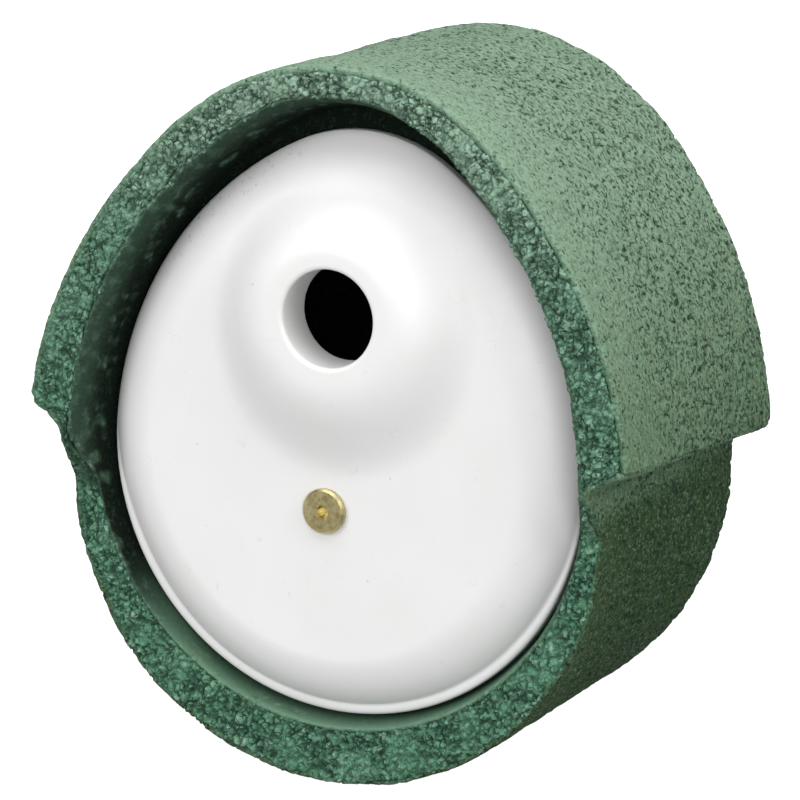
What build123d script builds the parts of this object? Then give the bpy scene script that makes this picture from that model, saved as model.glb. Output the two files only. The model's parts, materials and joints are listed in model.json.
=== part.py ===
from build123d import *
import math
import os

# Wall-hung nest box: a cast wood-concrete shell with an arched roof, closed at the front by an
# egg-shaped moulded panel that carries the domed entrance hole and a quarter-turn latch.
#
# Row frame, in millimetres: the origin is on the hanging hole's axis in the flat back face,
# +Z is up and -Y is the front. Levels are heights above the lock bolt's axis, and stations are
# distances behind the roof's front face. place() turns both into row coordinates.

# ---- Overall shape of the casting ----
depth = 129.0
roof_half_width = 107.5
roof_crown_level = 147.0
roof_crown_radius = 80.0
roof_crown_angle = 40.0
eaves_level = 26.5
eaves_lean = 8.2
eaves_inner_half_width = 90.0
eaves_undercut = 9.5
shell_radius = 96.0
shell_centre_level = 3.0
shell_setback = 13.5
haunch_drop = 17.0

# ---- Recess that takes the panel, and the lip it rests on ----
recess_half_width = 85.6
recess_wide_level = 20.0
recess_crown_level = 131.0
recess_crown_radius = 50.0
recess_crown_angle = 35.0
recess_foot_level = -71.0
recess_depth = 27.0
recess_draft = 5.0
lip_width = 12.5
lip_thickness = 11.0

# ---- Nest cavity behind the lip ----
side_wall = 17.0
roof_wall = 20.0
floor_wall = 18.0
back_wall = 20.0
cavity_crown_radius = 60.0
drain_diameter = 9.0
drain_count = 2
drain_pitch = 34.0

# ---- Front panel ----
panel_wall = 5.0
panel_side_gap = 0.7
panel_top_gap = 7.0
panel_seat_gap = 0.4
panel_back_gap = 0.3
panel_crown_radius = 52.0
panel_crown_angle = 30.0
flange_width = 4.5
tray_rise = 10.0
tray_round = 7.0
dome_rise = 11.7
dome_base_radius = 49.0
dome_base_drop = 7.0
entrance_level = 66.0
entrance_diameter = 32.0
tunnel_length = 16.5
tunnel_wall = 4.0
boss_diameter = 16.0

# ---- Lock bolt and latch ----
bolt_diameter = 6.0
bolt_head_diameter = 15.0
bolt_head_height = 2.2
bolt_head_bevel = 0.7
hex_key_size = 4.0
hex_key_depth = 3.0
bolt_running_clearance = 0.07
turning_gap = 0.1
latch_gap = 0.4
latch_thickness = 3.0
latch_width = 16.0
latch_reach = 64.0
washer_diameter = 12.5
washer_thickness = 1.6
spring_washer_diameter = 11.0
spring_washer_slit = 1.5
nut_size = 10.0
nut_height = 5.0
bolt_tail = 2.5
thread_clearance = 0.02
washer_clearance = 0.2

# ---- Hanger on the back ----
hanger_above_lock = 95.0
hanger_width = 74.0
hanger_height = 36.0
hanger_thickness = 2.0
hanger_corner = 6.0
hanger_centre_rise = 4.0
hanger_pocket_gap = 0.4
keyhole_diameter = 11.0
keyhole_slot_width = 5.4
keyhole_slot_rise = 12.0
head_pocket_margin = 1.5
head_pocket_depth = 8.0
screw_spacing = 52.0
screw_diameter = 4.0
screw_head_diameter = 8.0
screw_length = 12.0
screw_clearance = 0.2
plug_diameter = 8.0
plug_length = 12.5
plug_clearance = 0.05

# ---- Stations and levels that follow from the sizes above ----
recess_floor = recess_depth
lip_back = recess_floor + lip_thickness
cavity_back = depth - back_wall
flange_back = recess_floor - panel_back_gap
flange_front = flange_back - panel_wall
tray_front = flange_front - tray_rise
tray_back = tray_front + panel_wall
rim_front = tray_front - dome_rise
tunnel_back = rim_front + tunnel_length
head_back = tray_front - turning_gap
head_front = head_back - bolt_head_height
latch_front = lip_back + latch_gap
latch_back = latch_front + latch_thickness
spring_washer_front = latch_front - washer_thickness
flat_washer_front = spring_washer_front - washer_thickness
boss_back = flat_washer_front - turning_gap
nut_back = latch_back + nut_height
bolt_back = nut_back + bolt_tail
shell_foot_level = shell_centre_level - shell_radius
dome_base_level = entrance_level - dome_base_drop
hanger_pocket_depth = hanger_thickness + hanger_pocket_gap
overshoot = 1.0


def place(shape):
    """Moves a shape from (x, station, level) to the row frame."""
    return Pos(0, -depth, -hanger_above_lock) * shape


def front_plane(station):
    """Plane at a station whose sketch axes are X and level; extrusion goes towards the front."""
    return Plane(origin=(0, station, 0), x_dir=(1, 0, 0), z_dir=(0, -1, 0))


def prism(section, front, back):
    """Solid of one section between two stations."""
    return extrude(front_plane(back) * section, amount=back - front)


def disc(radius, x=0.0, level=0.0):
    return Pos(x, level) * Circle(radius)


def cylinder(radius, front, back, x=0.0, level=0.0):
    return prism(disc(radius, x, level), front, back)


def arch_edges(half_width, left_level, right_level, crown_level, crown_radius, crown_angle):
    """A crown arc with a tangent flank arc down each side, from the left foot to the right."""
    turn = math.radians(crown_angle)
    join_x = crown_radius * math.sin(turn)
    join_level = crown_level - crown_radius * (1 - math.cos(turn))
    crown = ThreePointArc((-join_x, join_level), (0, crown_level), (join_x, join_level))
    right_run = (math.cos(turn), -math.sin(turn))
    left_run = (-math.cos(turn), -math.sin(turn))
    right = TangentArc((join_x, join_level), (half_width, right_level), tangent=right_run)
    left = TangentArc((-join_x, join_level), (-half_width, left_level), tangent=left_run)
    return [left, crown, right]


def egg(half_width, wide_level, crown_level, crown_radius, crown_angle, foot_level):
    """Egg-shaped section: an arch closed by one arc round the foot."""
    foot = ThreePointArc((half_width, wide_level), (0, foot_level), (-half_width, wide_level))
    arch = arch_edges(
        half_width, wide_level, wide_level, crown_level, crown_radius, crown_angle
    )
    return make_face(arch + [foot])


def recess_section(grow):
    """The recess outline at its floor, grown outwards by a distance."""
    return egg(
        recess_half_width + grow,
        recess_wide_level,
        recess_crown_level + grow,
        recess_crown_radius + grow,
        recess_crown_angle,
        recess_foot_level - grow,
    )


def panel_section(inset):
    """The panel outline, tied to the recess that it sits in, moved inwards by a distance."""
    return egg(
        recess_half_width - panel_side_gap - inset,
        recess_wide_level,
        recess_crown_level - panel_top_gap - inset,
        panel_crown_radius - inset,
        panel_crown_angle,
        recess_foot_level + panel_seat_gap + inset,
    )


def cavity_section():
    """The nest cavity, a wall's thickness inside the casting."""
    return egg(
        shell_radius - side_wall,
        shell_centre_level,
        roof_crown_level - roof_wall,
        cavity_crown_radius,
        recess_crown_angle,
        shell_foot_level + floor_wall,
    )


def roof_section(lean):
    """The arched roof with its eaves' sloping underside, higher on the right by the lean."""
    left_level = eaves_level - lean
    right_level = eaves_level + lean
    arch = arch_edges(
        roof_half_width,
        left_level,
        right_level,
        roof_crown_level,
        roof_crown_radius,
        roof_crown_angle,
    )
    underside = Polyline(
        (roof_half_width, right_level),
        (eaves_inner_half_width, right_level - eaves_undercut),
        (-eaves_inner_half_width, left_level - eaves_undercut),
        (-roof_half_width, left_level),
    )
    return make_face(arch + [underside])


def roof():
    """The roof: its eaves lean at the front, as in the hand-finished casting, and end level."""
    front = front_plane(0) * roof_section(eaves_lean)
    back = front_plane(depth) * roof_section(0)
    return loft([back, front], ruled=True)


def haunch():
    """The slope under the roof's overhang, leaning with the eaves, down to the lower shell."""
    top_level = eaves_level + overshoot
    start_level = eaves_level - eaves_undercut
    profile = Polyline(
        (0, top_level),
        (0, start_level),
        (shell_setback, start_level - haunch_drop),
        (shell_setback, top_level),
        close=True,
    )
    slope_plane = Plane(origin=(0, 0, 0), x_dir=(0, 1, 0), z_dir=(1, 0, 0))
    slope = extrude(slope_plane * make_face(profile), amount=roof_half_width, both=True)
    lean_angle = math.degrees(math.atan(eaves_lean / eaves_inner_half_width))
    slope = Pos(0, 0, start_level) * Rot(0, -lean_angle, 0) * Pos(0, 0, -start_level) * slope
    return slope & cylinder(shell_radius, 0, shell_setback, level=shell_centre_level)


def recess_cut():
    """The drafted recess, widest at the front, run a little past the roof's front face."""
    draft_run = recess_draft / recess_floor
    front = front_plane(-overshoot) * recess_section(recess_draft + draft_run * overshoot)
    floor = front_plane(recess_floor) * recess_section(0)
    return loft([floor, front], ruled=True)


def drain_cuts():
    """Drain holes down through the floor, spaced along the depth of the cavity."""
    cavity_middle = (lip_back + cavity_back) / 2
    cuts = []
    for index in range(drain_count):
        station = cavity_middle + (index - (drain_count - 1) / 2) * drain_pitch
        hole = Cylinder(drain_diameter / 2, 3 * floor_wall)
        cuts.append(Pos(0, station, shell_foot_level + floor_wall / 2) * hole)
    return cuts


def hanger_outline(gap):
    """The hanger plate's rounded outline, centred a little above the hanging hole."""
    level = hanger_above_lock + hanger_centre_rise
    width = hanger_width + 2 * gap
    height = hanger_height + 2 * gap
    return Pos(0, level) * RectangleRounded(width, height, hanger_corner + gap)


def keyhole_outline(gap):
    """Entry hole with a narrow slot above it for the hanging screw's shank."""
    entry = disc(keyhole_diameter / 2 + gap, level=hanger_above_lock)
    slot_top = disc(keyhole_slot_width / 2 + gap, level=hanger_above_lock + keyhole_slot_rise)
    slot_bar = Pos(0, hanger_above_lock + keyhole_slot_rise / 2) * Rectangle(
        keyhole_slot_width + 2 * gap, keyhole_slot_rise
    )
    return entry + slot_bar + slot_top


def head_pocket_outline():
    """Room behind the keyhole for the hanging screw's head, in the entry and up the slot."""
    radius = keyhole_diameter / 2 + head_pocket_margin
    entry = disc(radius, level=hanger_above_lock)
    raised = disc(radius, level=hanger_above_lock + keyhole_slot_rise)
    middle = Pos(0, hanger_above_lock + keyhole_slot_rise / 2) * Rectangle(
        2 * radius, keyhole_slot_rise
    )
    return entry + middle + raised


def screw_positions():
    level = hanger_above_lock + hanger_centre_rise
    return [(-screw_spacing / 2, level), (screw_spacing / 2, level)]


def casting():
    """The one-piece casting: roof, lower shell, recess, lip, nest cavity and hanger pocket."""
    lower = cylinder(shell_radius, shell_setback, depth, level=shell_centre_level)
    casting = roof() + lower + haunch()
    casting -= recess_cut()
    casting -= prism(recess_section(-lip_width), recess_floor - overshoot, lip_back + overshoot)
    casting -= prism(cavity_section(), lip_back, cavity_back)
    pocket_front = depth - hanger_pocket_depth
    casting -= prism(hanger_outline(hanger_pocket_gap), pocket_front, depth + overshoot)
    casting -= prism(
        head_pocket_outline(), pocket_front - head_pocket_depth, pocket_front + overshoot
    )
    for x, level in screw_positions():
        casting -= cylinder(
            plug_diameter / 2, pocket_front - plug_length, pocket_front + overshoot, x, level
        )
    for cut in drain_cuts():
        casting -= cut
    return casting


def zone(solid, front, back):
    """The part of a solid between two stations."""
    return solid & prism(disc(2 * roof_half_width), front, back)


def dome(inset, base_station, rise):
    """Bell-shaped swelling round the entrance: an eccentric loft of circles."""
    rim_radius = entrance_diameter / 2 + tunnel_wall
    spread = dome_base_radius - rim_radius
    sections = []
    for height_share, spread_share in ((0, 1), (0.16, 0.72), (0.55, 0.42), (0.88, 0.17), (1, 0)):
        level = entrance_level - dome_base_drop * spread_share
        radius = rim_radius + spread * spread_share - inset
        station = base_station - rise * height_share
        sections.append(front_plane(station) * disc(radius, level=level))
    return loft(sections)


def front_panel():
    """Moulded panel: flange, raised tray, dome, entrance tunnel and the bolt's boss."""
    flange = prism(panel_section(0), flange_front, flange_back)
    tray = prism(panel_section(flange_width), tray_front, flange_front)
    tray = fillet(tray.faces().sort_by(Axis.Y)[0].edges(), tray_round)
    panel = flange + tray + dome(0, tray_front, dome_rise)
    hollow_inset = flange_width + panel_wall
    panel -= prism(panel_section(hollow_inset), tray_back, flange_back + overshoot)
    panel -= dome(panel_wall, tray_back, dome_rise)
    tunnel_radius = entrance_diameter / 2
    panel += cylinder(tunnel_radius + tunnel_wall, rim_front, tunnel_back, level=entrance_level)
    panel += cylinder(boss_diameter / 2, tray_front + overshoot, boss_back)
    panel -= cylinder(
        tunnel_radius, rim_front - overshoot, tunnel_back + overshoot, level=entrance_level
    )
    bolt_hole_radius = bolt_diameter / 2 + bolt_running_clearance
    panel -= cylinder(bolt_hole_radius, tray_front - overshoot, boss_back + overshoot)
    return panel


def lock_bolt():
    """Flat-headed bolt with a hexagon socket; its thread is a plain cylinder."""
    head = cylinder(bolt_head_diameter / 2, head_front, head_back)
    head = chamfer(head.faces().sort_by(Axis.Y)[0].edges(), bolt_head_bevel)
    shank = cylinder(bolt_diameter / 2, head_back, bolt_back)
    socket = RegularPolygon(hex_key_size / 2, 6, major_radius=False)
    return head + shank - prism(socket, head_front - overshoot, head_front + hex_key_depth)


def flat_washer():
    hole = disc(bolt_diameter / 2 + washer_clearance)
    return prism(disc(washer_diameter / 2) - hole, flat_washer_front, spring_washer_front)


def spring_washer():
    """Split washer, drawn flat as it is when the latch is fastened."""
    ring = disc(spring_washer_diameter / 2) - disc(bolt_diameter / 2 + washer_clearance)
    slit = Pos(0, spring_washer_diameter / 2) * Rectangle(
        spring_washer_slit, spring_washer_diameter
    )
    return prism(ring - slit, spring_washer_front, latch_front)


def latch_bar():
    """One-armed steel bar, level and pointing to +X when the panel is released."""
    end_radius = latch_width / 2
    arm_length = latch_reach - end_radius
    arm = Pos(arm_length / 2, 0) * Rectangle(arm_length, latch_width)
    outline = arm + disc(end_radius) + disc(end_radius, arm_length)
    return prism(outline - disc(bolt_diameter / 2 + thread_clearance), latch_front, latch_back)


def lock_nut():
    hole = disc(bolt_diameter / 2 + thread_clearance)
    hexagon = RegularPolygon(nut_size / 2, 6, major_radius=False)
    return prism(hexagon - hole, latch_back, nut_back)


def hanger_plate():
    """Steel plate let into the back, with the keyhole and two countersunk screw holes."""
    front = depth - hanger_thickness
    plate = prism(hanger_outline(0) - keyhole_outline(0), front, depth)
    for x, level in screw_positions():
        plate -= countersunk_form(screw_clearance, x, level)
    return plate


def countersunk_form(gap, x, level):
    """A countersunk screw's envelope, head flush with the back face."""
    head_depth = (screw_head_diameter - screw_diameter) / 2
    mouth = front_plane(depth) * disc(screw_head_diameter / 2 + gap, x, level)
    throat = front_plane(depth - head_depth) * disc(screw_diameter / 2 + gap, x, level)
    shank = cylinder(screw_diameter / 2 + gap, depth - screw_length, depth - head_depth, x, level)
    return loft([throat, mouth]) + shank


def hanger_screws():
    return [countersunk_form(0, x, level) for x, level in screw_positions()]


def wall_plugs():
    """Plastic plugs cast into the back wall, one for each hanger screw."""
    back = depth - hanger_pocket_depth
    ring = plug_diameter / 2
    bore = screw_diameter / 2 + plug_clearance
    plugs = []
    for x, level in screw_positions():
        section = disc(ring, x, level) - disc(bore, x, level)
        plugs.append(prism(section, back - plug_length, back))
    return plugs


def save(name, solids):
    """Writes one node, made of one solid or of several separate ones."""
    placed = [place(solid) for solid in solids]
    shape = placed[0] if len(placed) == 1 else Compound(children=placed)
    shape.label = name
    export_step(shape, os.path.join("parts", name + ".step"))


os.makedirs("parts", exist_ok=True)

# The casting is saved as four touching zones, each a plain ring or wall.
whole_casting = casting()
save("front_rim", [zone(whole_casting, 0, recess_floor)])
save("seat_lip", [zone(whole_casting, recess_floor, lip_back)])
save("nest_wall", [zone(whole_casting, lip_back, cavity_back)])
save("back_wall", [zone(whole_casting, cavity_back, depth)])

save("front_panel", [front_panel()])
save("lock_bolt", [lock_bolt()])
save("flat_washer", [flat_washer()])
save("spring_washer", [spring_washer()])
save("latch_bar", [latch_bar()])
save("lock_nut", [lock_nut()])
save("hanger_plate", [hanger_plate()])
save("hanger_screws", hanger_screws())
save("wall_plugs", wall_plugs())
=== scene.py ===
import json
import math

import bmesh
import bpy
import numpy as np
from mathutils import Matrix, Vector, geometry


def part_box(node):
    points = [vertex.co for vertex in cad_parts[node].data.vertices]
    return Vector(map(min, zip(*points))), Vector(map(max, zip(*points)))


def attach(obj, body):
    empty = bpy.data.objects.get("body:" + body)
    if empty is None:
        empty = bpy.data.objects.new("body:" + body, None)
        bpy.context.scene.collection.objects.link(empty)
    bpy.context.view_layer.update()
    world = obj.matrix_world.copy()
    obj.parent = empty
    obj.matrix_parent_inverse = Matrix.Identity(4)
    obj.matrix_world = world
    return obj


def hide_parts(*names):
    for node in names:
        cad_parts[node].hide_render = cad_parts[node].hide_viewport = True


# A wood-concrete nest box. The casting and the front panel are rebuilt here as even meshes with
# moved points, and the other pieces are the CAD nodes with their finishes. Lengths are in metres,
# unless a name ends in mm or MM or a comment says millimetres. A station is how far a point lies
# behind the roof's front, and a level is how high it lies above the lock's axis, in millimetres.

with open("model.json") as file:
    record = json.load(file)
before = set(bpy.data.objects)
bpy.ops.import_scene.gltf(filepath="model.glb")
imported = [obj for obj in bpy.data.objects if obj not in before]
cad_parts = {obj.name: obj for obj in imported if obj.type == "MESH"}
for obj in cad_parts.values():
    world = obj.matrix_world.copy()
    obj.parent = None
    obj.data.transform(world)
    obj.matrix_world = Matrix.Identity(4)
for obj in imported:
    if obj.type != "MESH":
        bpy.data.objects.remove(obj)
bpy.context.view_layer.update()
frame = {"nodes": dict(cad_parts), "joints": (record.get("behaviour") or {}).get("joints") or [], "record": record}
MM = 0.001


def mount_position(name):
    for mount in frame["record"]["mounts"]:
        if mount["name"] == name:
            return Vector(mount["pos_m"])
    raise KeyError(name)


def joint(name):
    return next(j for j in frame["joints"] if j["name"] == name)


def box_around(names):
    boxes = [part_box(name) for name in names]
    low = Vector(min(box[0][axis] for box in boxes) for axis in range(3))
    high = Vector(max(box[1][axis] for box in boxes) for axis in range(3))
    return low, high


CASTING_NODES = ("front_rim", "seat_lip", "nest_wall", "back_wall")
shell_low, shell_high = box_around(CASTING_NODES)
hanger_low, hanger_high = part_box("hanger_plate")
lock_axis = Vector(joint("latch_turn")["pos_m"])
entrance = mount_position("entrance")
roof_front = shell_low.y
entrance_level = (entrance.z - lock_axis.z) / MM
BODY_CENTRE_LEVEL = 20


# ---------------------------------------------------------------- camera, lights and floor

CAMERA_AZIMUTH = 24.58
CAMERA_ELEVATION = 14.51
CAMERA_ROLL = 5.30
CAMERA_DISTANCE = 1.288
CAMERA_AIM_RIGHT = 0.0282
CAMERA_AIM_UP = 0.0450
CAMERA_LENS_MM = 183.3
FLOOR_DROP = 2.4
FLOOR_SIZE = 80.0
SKY_STRENGTH = 0.28
WASH_SIZE = 20.0
WASH_POWER = 1900
WASH_AWAY = 16.0
WASH_HEIGHT = 5.0


def make_camera():
    azimuth = math.radians(CAMERA_AZIMUTH)
    elevation = math.radians(CAMERA_ELEVATION)
    roll = math.radians(CAMERA_ROLL)
    towards = Vector((
        math.sin(azimuth) * math.cos(elevation),
        -math.cos(azimuth) * math.cos(elevation),
        math.sin(elevation),
    ))
    level_right = Vector((math.cos(azimuth), math.sin(azimuth), 0))
    level_up = towards.cross(level_right)
    right = level_right * math.cos(roll) + level_up * math.sin(roll)
    up = towards.cross(right)
    aim = Vector((CAMERA_AIM_RIGHT, roof_front, lock_axis.z + CAMERA_AIM_UP))
    data = bpy.data.cameras.new("camera")
    data.lens = CAMERA_LENS_MM
    data.sensor_width = 36.0
    data.clip_start = 0.05
    data.clip_end = 20.0
    camera = bpy.data.objects.new("camera", data)
    bpy.context.scene.collection.objects.link(camera)
    turn = Matrix((right, up, towards)).transposed().to_4x4()
    camera.matrix_world = Matrix.Translation(aim + towards * CAMERA_DISTANCE) @ turn
    bpy.context.scene.camera = camera


def add_area_light(name, offset, size, irradiance):
    """A disk light aimed at the box, as strong there as a sky of that irradiance."""
    centre = (shell_low + shell_high) / 2
    distance = offset.length
    data = bpy.data.lights.new(name, "AREA")
    data.shape = "DISK"
    data.size = size
    data.energy = irradiance * math.pi**2 * distance**2
    light = bpy.data.objects.new(name, data)
    light.location = centre + offset
    light.rotation_euler = (-offset).to_track_quat("-Z", "Y").to_euler()
    bpy.context.scene.collection.objects.link(light)


def make_studio():
    overhead = Vector((-0.12, -0.30, 0.95)) * 1.9
    front = Vector((-0.48, -0.84, 0.26)) * 2.2
    side = Vector((0.78, -0.12, 0.62)) * 2.0
    right = Vector((0.50, -0.84, 0.20)) * 2.2
    add_area_light("overhead", overhead, 1.8, 0.72)
    add_area_light("front", front, 1.5, 0.46)
    add_area_light("side", side, 1.3, 0.66)
    add_area_light("right", right, 1.5, 0.38)
    world = bpy.data.worlds.new("studio")
    world.use_nodes = True
    background = world.node_tree.nodes["Background"]
    background.inputs["Color"].default_value = (1, 1, 1, 1)
    background.inputs["Strength"].default_value = SKY_STRENGTH
    bpy.context.scene.world = world
    bpy.context.scene.view_settings.view_transform = "Standard"

    floor_level = shell_low.z - FLOOR_DROP
    half = FLOOR_SIZE / 2
    mesh = bpy.data.meshes.new("floor")
    corners = [(-half, -half), (half, -half), (half, half), (-half, half)]
    mesh.from_pydata([(x, y, floor_level) for x, y in corners], [], [(0, 1, 2, 3)])
    floor = bpy.data.objects.new("floor", mesh)
    bpy.context.scene.collection.objects.link(floor)
    floor.data.materials.append(floor_finish())

    azimuth = math.radians(CAMERA_AZIMUTH)
    away = Vector((-math.sin(azimuth), math.cos(azimuth), 0))
    data = bpy.data.lights.new("floor_wash", "AREA")
    data.shape = "DISK"
    data.size = WASH_SIZE
    data.energy = WASH_POWER
    wash = bpy.data.objects.new("floor_wash", data)
    wash.location = away * WASH_AWAY + Vector((0, 0, floor_level + WASH_HEIGHT))
    bpy.context.scene.collection.objects.link(wash)


def floor_finish():
    material, shader = new_material("floor_paint")
    n = Nodes(material)
    point = n.object_point()
    tone = n.noise(point, 400, 3)
    colour = n.mix(n.remap(tone, 0.3, 0.7), (0.92, 0.92, 0.92), (0.94, 0.94, 0.94))
    n.link(colour, shader.inputs["Base Color"])
    n.link(n.bump(n.noise(point, 3, 3), 0.3, 0.3), shader.inputs["Normal"])
    shader.inputs["Roughness"].default_value = 0.9
    return material


# ---------------------------------------------------------------- node helpers

def new_material(name):
    material = bpy.data.materials.new(name)
    material.use_nodes = True
    return material, material.node_tree.nodes["Principled BSDF"]


class Nodes:
    """Short calls for building one material's node tree."""

    def __init__(self, material):
        self.tree = material.node_tree

    def add(self, kind, **settings):
        node = self.tree.nodes.new(kind)
        for key, value in settings.items():
            setattr(node, key, value)
        return node

    def link(self, source, target):
        self.tree.links.new(source, target)

    def object_point(self):
        return self.add("ShaderNodeTexCoord").outputs["Object"]

    def noise(self, point, feature_mm, detail=3.0, roughness=0.55):
        node = self.add("ShaderNodeTexNoise")
        node.inputs["Scale"].default_value = 1 / (feature_mm * MM)
        node.inputs["Detail"].default_value = detail
        node.inputs["Roughness"].default_value = roughness
        self.link(point, node.inputs["Vector"])
        return node.outputs["Fac"]

    def shifted(self, point, feature_mm, reach_mm):
        """The point pushed about by noise, so that patterns taken there are irregular."""
        node = self.add("ShaderNodeTexNoise")
        node.inputs["Scale"].default_value = 1 / (feature_mm * MM)
        self.link(point, node.inputs["Vector"])
        push = self.add("ShaderNodeVectorMath", operation="MULTIPLY_ADD")
        push.inputs[1].default_value = (reach_mm * MM,) * 3
        self.link(node.outputs["Color"], push.inputs[0])
        self.link(point, push.inputs[2])
        return push.outputs["Vector"]

    def cells(self, point, feature_mm, feature="F1"):
        node = self.add("ShaderNodeTexVoronoi", feature=feature)
        node.inputs["Scale"].default_value = 1 / (feature_mm * MM)
        self.link(point, node.inputs["Vector"])
        return node.outputs["Distance"]

    def remap(self, value, low, high, to_low=0.0, to_high=1.0):
        node = self.add("ShaderNodeMapRange", clamp=True)
        node.inputs["From Min"].default_value = low
        node.inputs["From Max"].default_value = high
        node.inputs["To Min"].default_value = to_low
        node.inputs["To Max"].default_value = to_high
        self.link(value, node.inputs["Value"])
        return node.outputs["Result"]

    def math(self, operation, a, b):
        node = self.add("ShaderNodeMath", operation=operation)
        for socket, value in zip(node.inputs, (a, b)):
            if isinstance(value, (int, float)):
                socket.default_value = value
            else:
                self.link(value, socket)
        return node.outputs["Value"]

    def mix(self, share, a, b):
        node = self.add("ShaderNodeMix", data_type="RGBA")
        for socket, value in ((node.inputs[0], share), (node.inputs[6], a), (node.inputs[7], b)):
            if isinstance(value, (int, float)):
                socket.default_value = value
            elif isinstance(value, tuple):
                socket.default_value = (*value, 1)
            else:
                self.link(value, socket)
        return node.outputs[2]

    def attribute(self, name):
        return self.add("ShaderNodeAttribute", attribute_name=name).outputs["Fac"]

    def bump(self, height, distance_mm, strength=1.0, normal=None):
        node = self.add("ShaderNodeBump")
        node.inputs["Strength"].default_value = strength
        node.inputs["Distance"].default_value = distance_mm * MM
        self.link(height, node.inputs["Height"])
        if normal is not None:
            self.link(normal, node.inputs["Normal"])
        return node.outputs["Normal"]


# ---------------------------------------------------------------- repeatable noise on points

def lattice_random(cell, seed):
    """A number from 0 to 1 for each whole-number cell, the same each run."""
    x, y, z = (cell[:, axis].astype(np.int64).astype(np.uint32) for axis in range(3))
    mixed = x * np.uint32(0x8DA6B343) ^ y * np.uint32(0xD8163841) ^ z * np.uint32(0xCB1AB31F)
    mixed ^= np.uint32(seed * 0x9E3779B1 & 0xFFFFFFFF)
    mixed ^= mixed >> np.uint32(15)
    mixed *= np.uint32(0x2C1B3C6D)
    mixed ^= mixed >> np.uint32(12)
    mixed *= np.uint32(0x297A2D39)
    mixed ^= mixed >> np.uint32(15)
    return mixed.astype(np.float64) / 2**32


def gradient_noise(points, feature, seed):
    """Smooth noise from about -1 to 1 whose blobs are about one feature across."""
    scaled = points / feature
    base = np.floor(scaled)
    part = scaled - base
    fade = part**3 * (part * (part * 6 - 15) + 10)
    total = np.zeros(len(points))
    for corner in np.ndindex(2, 2, 2):
        cell = base + corner
        weight = np.prod(np.where(corner, fade, 1 - fade), axis=1)
        slope = np.stack([lattice_random(cell, seed + axis) for axis in range(3)], -1) * 2 - 1
        total += weight * np.einsum("ij,ij->i", slope, part - corner)
    return total * 1.7


def grains(points, feature, seed):
    """Loose grains about one feature across.

    Gives how far each point is from the crevice between two grains, how far from the nearest
    grain's middle, and that grain's own random number. The first two are in features."""
    scaled = points / feature
    base = np.floor(scaled)
    nearest = np.full(len(points), 9.0)
    second = np.full(len(points), 9.0)
    own = np.zeros(len(points))
    for corner in np.ndindex(3, 3, 3):
        cell = base + corner - 1
        middle = cell + np.stack([lattice_random(cell, seed + axis) for axis in range(3)], -1)
        away = np.linalg.norm(scaled - middle, axis=1)
        closer = away < nearest
        second = np.where(closer, nearest, np.minimum(second, away))
        own = np.where(closer, lattice_random(cell, seed + 3), own)
        nearest = np.where(closer, away, nearest)
    return second - nearest, nearest, own


def warped(points, feature, reach, seed):
    """Points pushed about, so that noise taken there has no visible grid."""
    push = [gradient_noise(points, feature, seed + 13 * axis) for axis in range(3)]
    return points + reach * np.stack(push, -1)


def ramp(values, low, high):
    share = np.clip((values - low) / (high - low), 0, 1)
    return share * share * (3 - 2 * share)


# ---------------------------------------------------------------- the casting

CASTING_VOXEL_MM = 0.7
EDGE_ROUNDS = 6
FRONT_EDGE_ROUNDS = 44
FRONT_EDGE_MM = 14
HANGER_MARGIN_MM = 3
HANGER_POCKET_MM = 15
RING_END_STATION = 22
LEAST_SKIN_RADIUS_MM = 70
# Level in millimetres below which the skin gets painted shade.
EAVES_UNDER_LEVEL = 22
# Half height in millimetres of the painted shadow on the ring below the left eave.
EAVE_SHADOW_HALF_HEIGHT_MM = 16


def read_points(mesh):
    points = np.empty(len(mesh.vertices) * 3)
    mesh.vertices.foreach_get("co", points)
    return points.reshape(-1, 3)


def read_normals(mesh):
    normals = np.empty(len(mesh.vertices) * 3)
    mesh.vertex_normals.foreach_get("vector", normals)
    return normals.reshape(-1, 3)


def read_edges(mesh):
    edges = np.empty(len(mesh.edges) * 2, np.int32)
    mesh.edges.foreach_get("vertices", edges)
    return edges.reshape(-1, 2)


def spread(values, edges, rounds):
    """Moves values halfway to the mean of their neighbours, several times."""
    values = values.copy()
    count = np.bincount(edges.ravel(), minlength=len(values)).astype(float)
    for _ in range(rounds):
        for column in range(values.shape[1]):
            total = np.bincount(edges[:, 0], values[edges[:, 1], column], len(values))
            total += np.bincount(edges[:, 1], values[edges[:, 0], column], len(values))
            values[:, column] += 0.5 * (total / count - values[:, column])
    return values


def even_mesh(source, voxel):
    """A new mesh of even quads around the source, which is left as it is."""
    scratch = bpy.data.objects.new("scratch", source)
    bpy.context.scene.collection.objects.link(scratch)
    modifier = scratch.modifiers.new("even", "REMESH")
    modifier.mode = "VOXEL"
    modifier.voxel_size = voxel
    modifier.adaptivity = 0.0
    depsgraph = bpy.context.evaluated_depsgraph_get()
    mesh = bpy.data.meshes.new_from_object(scratch.evaluated_get(depsgraph))
    bpy.data.objects.remove(scratch)
    return mesh


def joined_casting():
    """The four casting zones as one even quad mesh."""
    joined = bmesh.new()
    for name in CASTING_NODES:
        joined.from_mesh(frame["nodes"][name].data)
    source = bpy.data.meshes.new("zones")
    joined.to_mesh(source)
    joined.free()
    return even_mesh(source, CASTING_VOXEL_MM * MM)


def write_attribute(mesh, name, values):
    attribute = mesh.attributes.new(name, "FLOAT", "POINT")
    attribute.data.foreach_set("value", values.astype(np.float32))


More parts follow.
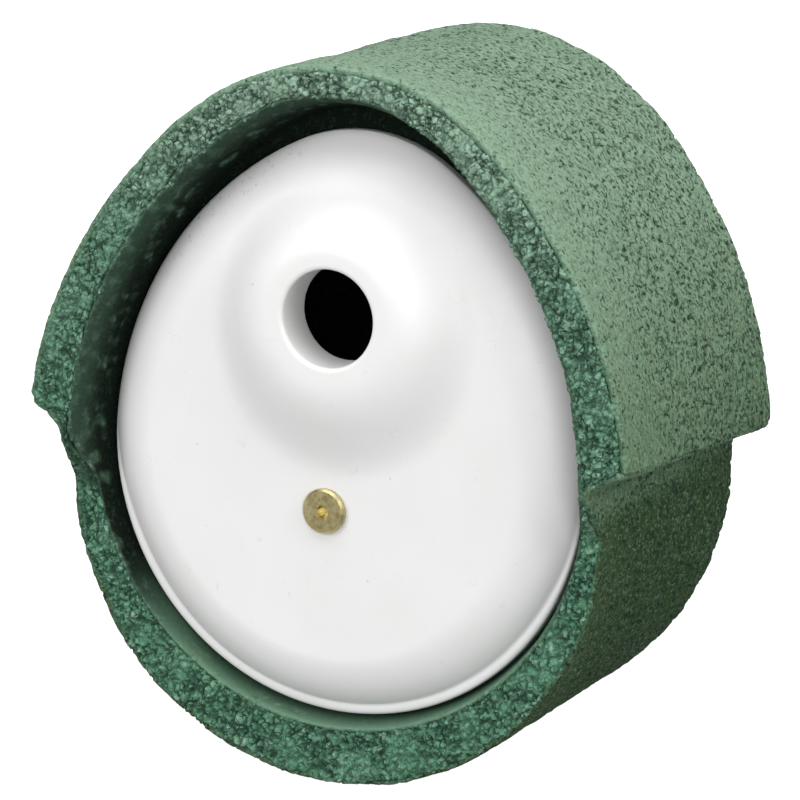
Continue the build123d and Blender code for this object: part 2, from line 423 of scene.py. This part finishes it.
def make_casting():
    """The casting with a crumbly front ring, a pitted skin and worn edges.

    Points move by up to a few millimetres and stay inside the CAD casting's box."""
    mesh = joined_casting()
    mesh.name = "shell_casting"
    edges = read_edges(mesh)
    sharp = read_points(mesh)
    slightly = spread(sharp, edges, EDGE_ROUNDS)
    rounded = spread(slightly, edges, FRONT_EDGE_ROUNDS)
    at_front = ramp(FRONT_EDGE_MM - (sharp[:, 1] - roof_front) / MM, 0, 8)
    softened = slightly + (rounded - slightly) * at_front[:, None]
    margin = HANGER_MARGIN_MM * MM
    low = np.array([hanger_low.x, hanger_low.z]) - margin
    high = np.array([hanger_high.x, hanger_high.z]) + margin
    by_hanger = np.all((sharp[:, ::2] > low) & (sharp[:, ::2] < high), axis=1)
    by_hanger &= sharp[:, 1] > hanger_low.y - HANGER_POCKET_MM * MM
    points = np.where(by_hanger[:, None], sharp, softened)
    mesh.vertices.foreach_set("co", points.ravel())
    mesh.update()
    normals = read_normals(mesh)
    mm = points / MM
    convex = np.einsum("ij,ij->i", sharp - rounded, normals) / MM
    edge_wear = ramp(convex, 0.3, 1.3)

    # Which part of the casting a point belongs to.
    depth_mm = (shell_high.y - roof_front) / MM
    station = mm[:, 1] - roof_front / MM
    level = mm[:, 2] - lock_axis.z / MM
    outwards = np.stack([mm[:, 0], level - BODY_CENTRE_LEVEL], -1)
    from_axis = np.linalg.norm(outwards, axis=1)
    outwards /= np.maximum(from_axis, 1e-6)[:, None]
    radial = np.einsum("ij,ij->i", normals[:, ::2], outwards)
    stray = 0.30 * gradient_noise(mm, 4.5, 141) + 0.12 * gradient_noise(mm, 1.8, 151)
    ring = ramp(stray - normals[:, 1], 0.15, 0.90)
    ring *= ramp(RING_END_STATION - station, 0, 4)
    back = ramp(normals[:, 1], 0.45, 0.8) * ramp(station, depth_mm - 3, depth_mm - 1)
    skin = ramp(radial, 0.15, 0.5) * (from_axis > LEAST_SKIN_RADIUS_MM) * (1 - ring) * (1 - back)
    inner = 1 - np.clip(ring + back + skin, 0, 1)

    # How far each part's surface moves into the casting, in millimetres.
    tangled = warped(mm, 4.0, 1.5, 301)
    swell = gradient_noise(mm, 17, 51)
    grit = gradient_noise(mm, 1.6, 61)
    grain = gradient_noise(mm, 3.4, 71)
    crevice, _, own = grains(tangled, 3.3, 11)
    fine_crevice, _, fine_own = grains(tangled, 1.9, 21)
    crumb = ramp(crevice, 0, 0.35) * (0.45 + 0.55 * own)
    fine_crumb = ramp(fine_crevice, 0, 0.4) * (0.35 + 0.65 * fine_own)
    low_ground = 1 - 0.5 * crumb - 0.5 * fine_crumb
    rough = 1 - 0.5 * ramp(gradient_noise(mm, 12, 171) + 0.3 * swell, -0.2, 0.7)
    ring_depth = 2.6 * (low_ground - 0.45) * rough + 0.35 * (1 - grit) * rough
    ring_depth += 0.6 * (1 + swell) + 0.5 * (1 + gradient_noise(mm, 6.5, 181)) - 0.65

    # Pits are sparse in the smooth band behind the roof's front edge and dense further back.
    patch = gradient_noise(mm, 30, 91)
    density = 0.65 * ramp(station + 14 * patch, 3, 60) + 0.35 * ramp(30 * patch - level, -60, 50)
    _, to_pit, pit_own = grains(tangled, 1.9, 31)
    pit_size = 0.62 * np.clip(0.16 + 0.62 * density - pit_own, 0, 0.4) ** 0.4
    pit = ramp(pit_size - to_pit, -0.15, 0.16)
    skin_depth = 1.2 * pit + 0.24 * (1 + grain) * (0.4 + density) + 0.12 * (1 + grit)
    skin_depth += 0.5 * (1 + swell) - 0.85

    near_rim = ramp(10 - station, 0, 9)
    inner_depth = 0.10 + 0.05 * (1 + grain) + near_rim * (0.5 + 0.9 * low_ground + 0.4 * swell)
    back_depth = 0.35 * pit + 0.08 * (1 + grain) + 0.1 * (1 + swell)

    chips = 1 - 0.6 * crumb - 0.4 * fine_crumb
    lumps = np.maximum(gradient_noise(mm, 8, 161), 0) + np.maximum(patch + swell, 0)
    wear_depth = edge_wear * (1 - inner) * (1.3 * chips + 2.1 * lumps)
    moved_in = (
        ring * ring_depth + skin * skin_depth + back * back_depth + inner * inner_depth
        + wear_depth
    )
    moved_in[by_hanger] = 0.0

    moved = points - normals * (moved_in * MM)[:, None]
    moved = np.clip(moved, np.array(shell_low), np.array(shell_high))
    mesh.vertices.foreach_set("co", moved.ravel())

    # Where the finish takes its colours.
    # The upper and left part of the recess, where shade falls.
    shade = np.maximum(ramp(level, -55, 0), ramp(-mm[:, 0], 40, 75))
    # A band of painted shadow on the ring just below the left eave.
    eave_shadow_band = ramp(EAVE_SHADOW_HALF_HEIGHT_MM - level, 0, 6)
    eave_shadow_band *= ramp(level + EAVE_SHADOW_HALF_HEIGHT_MM, 0, 12)
    shares = {
        # Painted shade in the ring's low ground between grains and in the skin's pits.
        "painted_hollow_shade": ring * np.sqrt(rough) * ramp(low_ground, 0.57, 0.93) + skin * pit,
        # Painted highlight on the tops of the ring's grains.
        "painted_crest_highlight": ring * ramp(0.42 - low_ground, 0, 0.22),
        "rough": ring * rough,
        "open": skin * density + 0.5 * back,
        "open_skin": np.clip(skin + 0.6 * back, 0, 1),
        "ring": ring,
        "inner": inner,
        # Painted shade: the recess wall darkens the deeper it lies.
        "painted_depth_shade": inner * ramp(station, 8, 24) * (1 - shade),
        "coat": 1 - 0.85 * inner,
        # Painted light: faces that look up are painted lighter, as if lit from above.
        "painted_top_light": ramp(normals[:, 2], 0.1, 0.85),
        # Painted shade, with some grime: the skin below the eaves is darkened to olive.
        "painted_underside_shade": ramp(EAVES_UNDER_LEVEL - level, 0, 10) * skin,
        # Painted light: the upper part of the front ring is painted lighter, as if lit from above.
        "painted_crown_light": ring * (0.25 * ramp(level, 0, 60) + 0.75 * ramp(level, 70, 135)),
        # Painted shadow of the left eave on the ring below it.
        "painted_eave_shadow": ring * ramp(-mm[:, 0], 66, 78) * eave_shadow_band,
        # Painted shade: the upper and left recess wall is made near black.
        "painted_recess_shadow": inner * (0.84 + 0.16 * ramp(station, 3, 17)) * shade,
    }
    for name, share in shares.items():
        write_attribute(mesh, name, share)
    mesh.polygons.foreach_set("use_smooth", np.ones(len(mesh.polygons), bool))
    mesh.update()

    casting = bpy.data.objects.new("shell_casting", mesh)
    bpy.context.scene.collection.objects.link(casting)
    mesh.materials.clear()
    mesh.materials.append(casting_finish())
    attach(casting, "shell")
    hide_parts(*CASTING_NODES)


def casting_finish():
    """Green masonry paint on rough wood-concrete, with ochre stains and light and dark specks.

    It also holds painted light and shade: painted highlights on the ring's crests, painted shade
    in its crevices, in the skin's pits, below the eaves and deep in the recess, and painted light
    on upward faces and the ring's top. Each colour is laid over the ones before it, by the share
    that make_casting wrote."""
    material, shader = new_material("green_cast")
    n = Nodes(material)
    point = n.object_point()
    broad = n.noise(point, 45, 3)
    patch = n.noise(point, 14, 3)
    speck = n.noise(point, 1.3, 4, 0.75)
    colour = n.mix(n.remap(broad, 0.35, 0.65), (0.110, 0.192, 0.106), (0.132, 0.214, 0.123))
    colour = n.mix(n.remap(patch, 0.5, 0.72, 0, 0.4), colour, (0.175, 0.215, 0.110))
    # Painted light on faces that look up.
    colour = n.mix(n.math("MULTIPLY", n.attribute("painted_top_light"), 0.6), colour, (0.325, 0.470, 0.350))
    # Painted shade, with some grime, on the skin below the eaves.
    colour = n.mix(n.attribute("painted_underside_shade"), colour, (0.035, 0.068, 0.019))
    colour = n.mix(n.attribute("ring"), colour, (0.122, 0.315, 0.190))
    # Painted light on the upper part of the front ring.
    colour = n.mix(n.attribute("painted_crown_light"), colour, (0.320, 0.490, 0.360))
    # Painted shadow of the left eave: the ring below it is made near black.
    colour = n.mix(n.math("MULTIPLY", n.attribute("painted_eave_shadow"), 0.85), colour, (0.018, 0.03, 0.01))
    colour = n.mix(n.attribute("inner"), colour, (0.195, 0.370, 0.245))
    # Painted shade deep in the recess.
    colour = n.mix(n.math("MULTIPLY", n.attribute("painted_depth_shade"), 0.88), colour, (0.014, 0.034, 0.018))
    # Painted shade on the upper and left recess wall, near black.
    colour = n.mix(n.attribute("painted_recess_shadow"), colour, (0.004, 0.009, 0.005))
    # Painted highlight on the ring's grain tops.
    colour = n.mix(n.math("MULTIPLY", n.attribute("painted_crest_highlight"), 0.8), colour, (0.33, 0.50, 0.39))
    coat = n.attribute("coat")
    dusty = n.math("MULTIPLY", n.remap(speck, 0.50, 0.72, 0, 0.6), coat)
    colour = n.mix(dusty, colour, (0.290, 0.420, 0.340))
    grime = n.math("MULTIPLY", n.remap(speck, 0.50, 0.34, 0, 0.7), coat)
    colour = n.mix(grime, colour, (0.040, 0.080, 0.050))
    # Painted shade in fine crevices on the ring and pits in the skin; the same pattern also bumps the surface.
    twisted = n.shifted(point, 1.6, 0.9)
    crevice = n.cells(twisted, 2.1, "DISTANCE_TO_EDGE")
    some = n.remap(n.noise(point, 2.6, 2), 0.38, 0.56)
    crevice_shade = n.math("MULTIPLY", n.remap(crevice, 0.03, 0.14, 1, 0), some)
    crevice_shade = n.math("MULTIPLY", crevice_shade, n.attribute("rough"))
    spots = n.math("ADD", n.noise(twisted, 1.5, 2), n.math("MULTIPLY", n.attribute("open"), 0.105))
    pit_shade = n.math("MULTIPLY", n.remap(spots, 0.62, 0.70), n.attribute("open_skin"))
    pore_shade_and_bump = n.math("MAXIMUM", crevice_shade, pit_shade)
    # Painted shade in crevices and pits.
    colour = n.mix(n.math("MULTIPLY", pore_shade_and_bump, 0.85), colour, (0.016, 0.042, 0.026))
    # Painted shade in the ring's hollows and the skin's pits.
    colour = n.mix(n.math("MULTIPLY", n.attribute("painted_hollow_shade"), 0.85), colour, (0.02, 0.05, 0.032))
    n.link(colour, shader.inputs["Base Color"])
    n.link(n.remap(speck, 0.3, 0.7, 0.8, 0.96), shader.inputs["Roughness"])
    shader.inputs["Specular IOR Level"].default_value = 0.08
    coarse = n.bump(n.math("SUBTRACT", 1.0, pore_shade_and_bump), 0.5, 0.8)
    fine = n.bump(speck, 1.1, 1.0, coarse)
    n.link(fine, shader.inputs["Normal"])
    return material


# ---------------------------------------------------------------- the panel

# Millimetres.
PANEL_VOXEL_MM = 0.6
FLANGE_STATION = 21.7
FLANGE_BACK_STATION = 26.7
FLANGE_WIDTH = 3.4
FLANGE_WIDTH_AT_TOP = 0.5
SHOULDER_WIDTH = 18.0
SHOULDER_WIDTH_AT_TOP = 19.0
TRAY_RISE = 10.0
GROOVE_DEPTH = 0.45
EDGE_ROUND = 1.2
DOME_RISE = 11.7
DOME_RIM_RADIUS = 20.0
DOME_BASE_RADIUS = 49.0
DOME_BASE_DROP = 7.0
HOLE_RADIUS = 16.0
HOLE_ROUND = 1.2
BOLT_HOLE_CLEARANCE = 6
LEAST_WALL = 2.0


def distance_inside(flat, outline):
    """Distance from each point to the nearest side of a closed outline."""
    sides = np.roll(outline, -1, axis=0) - outline
    nearest = np.full(len(flat), np.inf)
    for corner, side in zip(outline, sides):
        offset = flat - corner
        share = np.clip(offset @ side / max(side @ side, 1e-9), 0, 1)
        gap = np.linalg.norm(offset - share[:, None] * side, axis=1)
        nearest = np.minimum(nearest, gap)
    return nearest


def panel_front_station(x, level, inside):
    """The station of the panel's front surface, at a distance inside the panel's outline."""
    top = ramp(level, -35, 25)
    flange = FLANGE_WIDTH + (FLANGE_WIDTH_AT_TOP - FLANGE_WIDTH) * top
    width = SHOULDER_WIDTH + (SHOULDER_WIDTH_AT_TOP - SHOULDER_WIDTH) * top
    share = np.clip((inside - flange) / width, 0, 1)
    rise = TRAY_RISE * (1 - (1 - share) ** 1.9)
    groove = GROOVE_DEPTH * np.exp(-(((inside - flange) / 0.9) ** 2)) * (1 - top)
    overhang = np.clip(EDGE_ROUND - inside, 0, EDGE_ROUND)
    edge = EDGE_ROUND - np.sqrt(EDGE_ROUND**2 - overhang**2)

    # The dome's circles grow from its rim to its base, and their centres move down meanwhile.
    up = level - entrance_level
    from_hole = np.hypot(x, up)
    spread_mm = DOME_BASE_RADIUS - DOME_RIM_RADIUS
    a = spread_mm**2 - DOME_BASE_DROP**2
    b = 2 * (DOME_RIM_RADIUS * spread_mm - DOME_BASE_DROP * up)
    c = DOME_RIM_RADIUS**2 - from_hole**2
    outwards = (-b + np.sqrt(np.maximum(b * b - 4 * a * c, 0))) / (2 * a)
    swelling = (1 - np.clip(outwards, 0, 1) ** 2.4) ** 2.6
    into_hole = np.clip(HOLE_RADIUS + HOLE_ROUND - from_hole, 0, HOLE_ROUND)
    rim = HOLE_ROUND - np.sqrt(HOLE_ROUND**2 - into_hole**2)
    return FLANGE_STATION - rise + groove + edge - DOME_RISE * swelling + rim


def make_panel():
    """The panel with its soft shoulder, bell-shaped dome and rounded entrance."""
    source = frame["nodes"]["front_panel"].data.copy()
    cad_points = read_points(source)
    back_edge = np.abs(cad_points[:, 1] - (roof_front + FLANGE_BACK_STATION * MM)) < 0.2 * MM
    around = cad_points[back_edge][:, ::2]
    hull = geometry.convex_hull_2d([tuple(point) for point in around])
    outline = around[hull] / MM
    outline[:, 1] -= lock_axis.z / MM

    mesh = even_mesh(source, PANEL_VOXEL_MM * MM)
    mesh.name = "panel_moulding"
    points = spread(read_points(mesh), read_edges(mesh), 2)
    mesh.vertices.foreach_set("co", points.ravel())
    mesh.update()
    normals = read_normals(mesh)
    x = points[:, 0] / MM
    level = (points[:, 2] - lock_axis.z) / MM
    station = (points[:, 1] - roof_front) / MM
    inside = distance_inside(np.stack([x, level], -1), outline)
    front = panel_front_station(x, level, inside)
    from_hole = np.hypot(x, level - entrance_level)

    # The CAD's front surface and its outward sides go to the new front, and the rest stays.
    at_front = (normals[:, 1] < -0.12) & (np.abs(station - front) < 8)
    away = np.stack([x, level - BODY_CENTRE_LEVEL], -1)
    away /= np.maximum(np.linalg.norm(away, axis=1), 1e-6)[:, None]
    outwards = np.einsum("ij,ij->i", normals[:, ::2], away)
    at_front |= (outwards > 0.3) & (inside > 2) & (inside < 14) & (station < front + 12)
    bolt_hole = np.hypot(x, level) < BOLT_HOLE_CLEARANCE
    at_back = normals[:, 1] > 0.12
    behind = np.maximum(station, front + np.where(at_back, LEAST_WALL, 0))
    station = np.where(at_front & ~bolt_hole, front, behind)
    points[:, 1] = roof_front + station * MM
    mesh.vertices.foreach_set("co", points.ravel())
    mesh.polygons.foreach_set("use_smooth", np.ones(len(mesh.polygons), bool))
    upper_left = ramp(-x, 15, 40) * ramp(level, 60, 85) * ramp(10 - inside, 0, 6)
    write_attribute(mesh, "scuffed", upper_left)
    write_attribute(mesh, "soiled", ramp(from_hole, 10, 16.3) * ramp(24 - from_hole, 0, 8))
    mesh.update()

    panel = bpy.data.objects.new("panel_moulding", mesh)
    bpy.context.scene.collection.objects.link(panel)
    mesh.materials.clear()
    mesh.materials.append(panel_finish())
    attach(panel, "panel")
    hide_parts("front_panel")


# ---------------------------------------------------------------- finishes of the other pieces

def panel_finish():
    """Satin white enamel with faint mottling, a few dots, hair scratches and edge scuffs."""
    material, shader = new_material("white_enamel")
    n = Nodes(material)
    point = n.object_point()
    mottle = n.noise(point, 25, 2)
    colour = n.mix(n.remap(mottle, 0.3, 0.7), (0.71, 0.71, 0.705), (0.73, 0.73, 0.73))
    marks = n.noise(point, 2.2, 4, 0.75)
    scuff = n.math("MULTIPLY", n.remap(marks, 0.58, 0.64), n.attribute("scuffed"))
    colour = n.mix(n.math("MULTIPLY", scuff, 0.7), colour, (0.26, 0.24, 0.22))
    dots = n.remap(n.cells(point, 16), 0.018, 0.030, 0.55, 0.0)
    colour = n.mix(dots, colour, (0.30, 0.29, 0.27))
    contour = n.math("ABSOLUTE", n.math("SUBTRACT", n.noise(point, 11, 2), 0.5), 0.0)
    hair = n.math("MULTIPLY", n.remap(contour, 0.0, 0.006, 1, 0),
                  n.remap(n.noise(point, 7, 1), 0.60, 0.66))
    colour = n.mix(n.math("MULTIPLY", hair, 0.35), colour, (0.50, 0.49, 0.47))
    colour = n.mix(n.math("MULTIPLY", n.attribute("soiled"), 0.06), colour, (0.60, 0.58, 0.53))
    n.link(colour, shader.inputs["Base Color"])
    n.link(n.remap(n.noise(point, 9, 3), 0.3, 0.7, 0.34, 0.46), shader.inputs["Roughness"])
    shader.inputs["Specular IOR Level"].default_value = 0.45
    n.link(n.bump(n.noise(point, 6, 2), 0.08, 0.3), shader.inputs["Normal"])
    return material


def zinc_finish(name, tone, tint):
    """Plated steel: metal with cloudy colour and fine scratches."""
    material, shader = new_material(name)
    n = Nodes(material)
    point = n.object_point()
    cloud = n.noise(point, 3.5, 4)
    n.link(n.mix(n.remap(cloud, 0.3, 0.7), tone, tint), shader.inputs["Base Color"])
    shader.inputs["Metallic"].default_value = 1.0
    n.link(n.remap(n.noise(point, 1.2, 3), 0.3, 0.7, 0.25, 0.42), shader.inputs["Roughness"])
    n.link(n.bump(n.noise(point, 0.5, 3), 0.03, 0.5), shader.inputs["Normal"])
    return material


def plastic_finish():
    material, shader = new_material("grey_plastic")
    n = Nodes(material)
    point = n.object_point()
    tone = n.remap(n.noise(point, 4, 2), 0.3, 0.7)
    n.link(n.mix(tone, (0.16, 0.165, 0.17), (0.21, 0.215, 0.22)), shader.inputs["Base Color"])
    shader.inputs["Roughness"].default_value = 0.55
    n.link(n.bump(n.noise(point, 0.7, 2), 0.05, 0.4), shader.inputs["Normal"])
    return material


def dress(node, material):
    """Gives a CAD node its finish and leaves its mesh as it is."""
    piece = frame["nodes"][node]
    piece.data.materials.clear()
    piece.data.materials.append(material)


def dress_cad_nodes():
    yellow = zinc_finish("yellow_zinc", (0.46, 0.38, 0.17), (0.62, 0.55, 0.30))
    dress("lock_bolt", yellow)
    bright = zinc_finish("bright_zinc", (0.50, 0.51, 0.53), (0.64, 0.65, 0.66))
    for node in ("flat_washer", "spring_washer", "latch_bar", "lock_nut",
                 "hanger_plate", "hanger_screws"):
        dress(node, bright)
    dress("wall_plugs", plastic_finish())


make_camera()
make_studio()
make_casting()
make_panel()
dress_cad_nodes()
